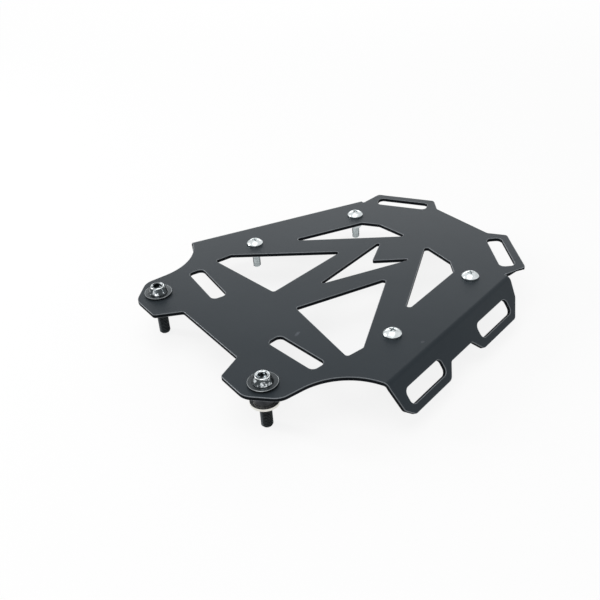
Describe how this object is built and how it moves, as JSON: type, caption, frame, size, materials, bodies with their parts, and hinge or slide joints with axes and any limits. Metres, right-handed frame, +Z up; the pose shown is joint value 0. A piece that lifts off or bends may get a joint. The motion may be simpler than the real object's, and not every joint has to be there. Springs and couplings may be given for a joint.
{
  "type": "motorcycle luggage rack",
  "caption": "Flat folded-sheet luggage rack for a motorcycle's tail, with truss cut-outs, strap slots, sloping side flanges and front ears bolted on through spacers.",
  "frame": {"origin": "midway between the mounting bolts, on the plane where their base washers seat", "axes": "+X to the machine's left, +Y to its rear, +Z up and square to the deck"},
  "size_m": [0.2616, 0.2641, 0.04],
  "materials": {
    "plate": "satin black powder coat with a cool grey tone",
    "mount_bolt": "black chromate, half gloss",
    "mount_washer": "black chromate, half gloss",
    "spacer": "dark phosphate, satin",
    "base_washer": "bright zinc plate",
    "deck_screw": "bright zinc plate",
    "deck_washer": "bright zinc plate",
    "deck_nut": "bright zinc plate"
  },
  "bodies": {
    "root": {"rack_plate": "plate", "mount_bolt_left": "mount_bolt", "mount_washer_left": "mount_washer", "spacer_left": "spacer", "base_washer_left": "base_washer", "deck_screw_front_left": "deck_screw", "deck_washer_front_left": "deck_washer", "deck_nut_front_left": "deck_nut", "deck_screw_rear_left": "deck_screw", "deck_washer_rear_left": "deck_washer", "deck_nut_rear_left": "deck_nut", "mount_bolt_right": "mount_bolt", "mount_washer_right": "mount_washer", "spacer_right": "spacer", "base_washer_right": "base_washer", "deck_screw_front_right": "deck_screw", "deck_washer_front_right": "deck_washer", "deck_nut_front_right": "deck_nut", "deck_screw_rear_right": "deck_screw", "deck_washer_rear_right": "deck_washer", "deck_nut_rear_right": "deck_nut"}
  },
  "joints": []
}
